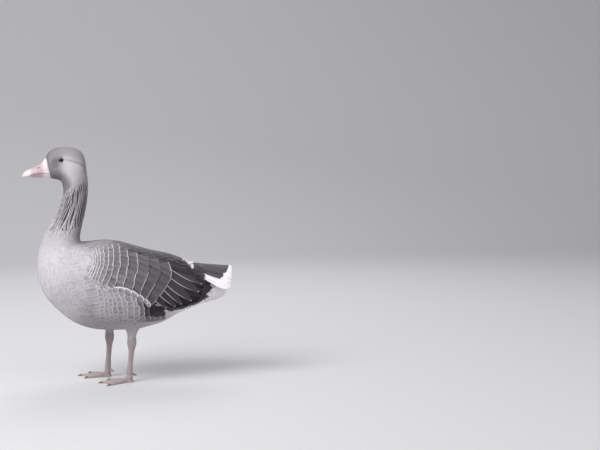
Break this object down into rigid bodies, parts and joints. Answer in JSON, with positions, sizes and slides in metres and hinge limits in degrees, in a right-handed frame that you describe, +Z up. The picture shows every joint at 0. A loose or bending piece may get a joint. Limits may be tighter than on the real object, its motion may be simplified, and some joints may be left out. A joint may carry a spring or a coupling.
{
  "type": "domestic goose",
  "caption": "Life-size standing goose: upright furrowed neck, deep breast, folded wings with pale-edged feathers, domed tail and webbed feet.",
  "frame": {"origin": "middle of the bird's box in plan, at the floor under its feet", "axes": "-X is the way the bird faces, -Y is its left side, +Z is up"},
  "size_m": [0.5484, 0.231, 0.62],
  "materials": {
    "head_feathers": "short dense grey-brown feathers",
    "neck_feathers": "grey-brown feathers in lengthwise furrows",
    "breast_feathers": "smooth pale grey feathers",
    "flank_feathers": "pale grey feathers with lighter edges",
    "white_feathers": "soft white feathers",
    "wing_coverts": "dark grey feathers with pale edges",
    "flight_feathers": "near-black quills with thin white edges",
    "tail_feathers": "dark grey quills with white tips",
    "bill_skin": "smooth pale pink horn",
    "bill_nail": "whitish horn",
    "eye": "wet and dark",
    "leg_skin": "pale pinkish grey scaly skin",
    "claw": "dark horn"
  },
  "bodies": {
    "root": {"bill_upper": "bill_skin", "bill_lower": "bill_skin", "bill_nail": "bill_nail", "head": "head_feathers", "eye_left": "eye", "eye_right": "eye", "neck_upper": "neck_feathers", "neck_lower": "neck_feathers", "breast": "breast_feathers", "trunk": "flank_feathers", "rump": "white_feathers", "tail": "tail_feathers", "wing_left": "wing_coverts", "flight_left": "flight_feathers", "thigh_left": "flank_feathers", "shank_left": "leg_skin", "foot_left": "leg_skin", "hind_toe_left": "leg_skin", "claw_inner_left": "claw", "claw_middle_left": "claw", "claw_outer_left": "claw", "wing_right": "wing_coverts", "flight_right": "flight_feathers", "thigh_right": "flank_feathers", "shank_right": "leg_skin", "foot_right": "leg_skin", "hind_toe_right": "leg_skin", "claw_inner_right": "claw", "claw_middle_right": "claw", "claw_outer_right": "claw"}
  },
  "joints": []
}
